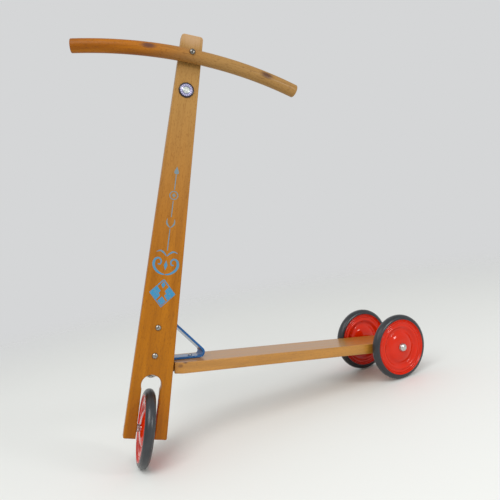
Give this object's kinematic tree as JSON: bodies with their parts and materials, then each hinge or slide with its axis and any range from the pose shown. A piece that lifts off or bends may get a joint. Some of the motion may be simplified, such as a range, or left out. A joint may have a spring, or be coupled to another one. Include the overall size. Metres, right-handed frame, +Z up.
{
  "type": "wooden kick scooter",
  "caption": "Child's wooden kick scooter: plank deck, tapered stem board steered on a steel hinge pin, curved handlebar and pressed steel wheels with solid tyres.",
  "frame": {"origin": "centre of the whole object's box in plan, on the floor the wheels stand on", "axes": "+Z up, -Y forward along the deck, +X to the rider's left; the stem stands steered 78 degrees to the left"},
  "size_m": [0.1906, 0.7304, 0.8305],
  "materials": {
    "lacquered_wood": "clear lacquered beech, honey brown",
    "handlebar_wood": "clear lacquered beech, hand worn",
    "blue_paint": "gloss blue enamel on flat steel",
    "red_paint": "gloss red enamel on pressed steel",
    "rubber_tyre": "dull black solid rubber",
    "zinc_steel": "bright plated steel fittings",
    "badge": "pressed metal badge, enamelled"
  },
  "bodies": {
    "deck": {"deck_board": "lacquered_wood", "brace_strap": "blue_paint", "strap_screw_front": "zinc_steel", "strap_screw_rear": "zinc_steel", "rear_axle": "zinc_steel", "rear_cap_left": "zinc_steel", "rear_cap_right": "zinc_steel", "rear_washer_left": "zinc_steel", "rear_washer_right": "zinc_steel"},
    "stem": {"stem_board": "lacquered_wood", "handlebar": "handlebar_wood", "handlebar_bolt": "zinc_steel", "handlebar_washer": "zinc_steel", "handlebar_nut": "zinc_steel", "hinge_bracket": "zinc_steel", "bracket_bolt_lower": "zinc_steel", "bracket_bolt_upper": "zinc_steel", "bracket_nut_lower": "zinc_steel", "bracket_nut_upper": "zinc_steel", "hinge_pin": "zinc_steel", "hinge_nut": "zinc_steel", "hinge_washer_lower": "zinc_steel", "hinge_washer_upper": "zinc_steel", "front_axle": "zinc_steel", "front_spacer_left": "zinc_steel", "front_spacer_right": "zinc_steel", "badge": "badge"},
    "front_wheel": {"front_tyre": "rubber_tyre", "front_disc_outer": "red_paint", "front_disc_inner": "red_paint", "front_hub": "zinc_steel"},
    "rear_wheel_left": {"rear_left_tyre": "rubber_tyre", "rear_left_disc_outer": "red_paint", "rear_left_disc_inner": "red_paint", "rear_left_hub": "zinc_steel"},
    "rear_wheel_right": {"rear_right_tyre": "rubber_tyre", "rear_right_disc_outer": "red_paint", "rear_right_disc_inner": "red_paint", "rear_right_hub": "zinc_steel"}
  },
  "joints": [
    {"name": "steering", "type": "hinge", "parent": "deck", "child": "stem", "pos_m": [-0.00673, -0.28118, 0.17008], "axis": [0, 0.3082, 0.9513], "range_deg": [-159, 3]},
    {"name": "front_wheel_spin", "type": "hinge", "parent": "stem", "child": "front_wheel", "pos_m": [0.02213, -0.3194, 0.07199], "axis": [0.2079, 0.9305, -0.3015], "continuous": true},
    {"name": "rear_left_wheel_spin", "type": "hinge", "parent": "deck", "child": "rear_wheel_left", "pos_m": [0.06187, 0.29022, 0.075], "axis": [1, 0, 0], "continuous": true},
    {"name": "rear_right_wheel_spin", "type": "hinge", "parent": "deck", "child": "rear_wheel_right", "pos_m": [-0.07533, 0.29022, 0.075], "axis": [1, 0, 0], "continuous": true}
  ]
}
